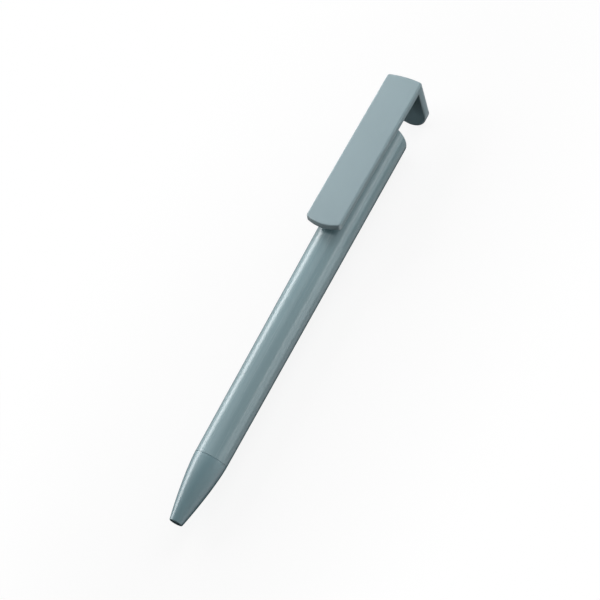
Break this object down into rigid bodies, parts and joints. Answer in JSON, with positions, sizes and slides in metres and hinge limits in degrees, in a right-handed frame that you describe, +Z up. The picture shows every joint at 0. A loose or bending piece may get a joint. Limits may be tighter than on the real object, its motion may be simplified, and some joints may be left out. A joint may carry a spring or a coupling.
{
  "type": "ballpoint pen with phone stand",
  "caption": "Retractable ballpoint pen whose wide flat clip slides to push the refill out and ends in a hook that props up a phone against the slanted barrel end.",
  "frame": {"origin": "centre of the pen's length and width, at the height of the hook's lowest edge, with the clip up", "axes": "+X along the pen from the nose to the hook, +Y across the clip, +Z up from the barrel to the clip"},
  "size_m": [0.1474, 0.0126, 0.0156],
  "materials": {
    "barrel_plastic": "grey-blue moulded plastic, smooth, glossy",
    "nose_plastic": "grey-blue moulded plastic, satin",
    "clip_plastic": "grey-blue moulded plastic, fine satin",
    "mechanism_plastic": "natural white acetal, as moulded",
    "spring_steel": "bright drawn wire",
    "refill_plastic": "milky polypropylene tube",
    "point_metal": "turned brass",
    "ball_metal": "polished hard metal",
    "ink": "dark blue paste ink"
  },
  "bodies": {
    "pen_body": {"barrel": "barrel_plastic", "cam_sleeve": "mechanism_plastic"},
    "nose": {"nose_cone": "nose_plastic"},
    "clip_carriage": {"clip": "clip_plastic", "slider": "mechanism_plastic"},
    "refill": {"rotor_cam": "mechanism_plastic", "refill_tube": "refill_plastic", "refill_point": "point_metal", "ink_column": "ink", "return_spring": "spring_steel"},
    "ball": {"point_ball": "ball_metal"}
  },
  "joints": [
    {"name": "clip_press", "type": "slide", "parent": "pen_body", "child": "clip_carriage", "axis": [-1, 0, 0], "range_m": [0, 0.0055], "stiffness_N_per_m": 180, "springref_m": -0.005},
    {"name": "refill_slide", "type": "slide", "parent": "pen_body", "child": "refill", "axis": [-1, 0, 0], "range_m": [0, 0.0055], "deforming": ["return_spring"]},
    {"name": "nose_unscrew", "type": "hinge", "parent": "pen_body", "child": "nose", "pos_m": [-0.05273, 0, 0.0067], "axis": [-1, 0, 0], "range_deg": [0, 1080]},
    {"name": "ball_roll", "type": "hinge", "parent": "refill", "child": "ball", "pos_m": [-0.07173, 0, 0.0067], "axis": [0, 1, 0], "continuous": true}
  ],
  "couplings": [
    {"joint": "refill_slide", "follows": "clip_press", "ratio": 1}
  ]
}
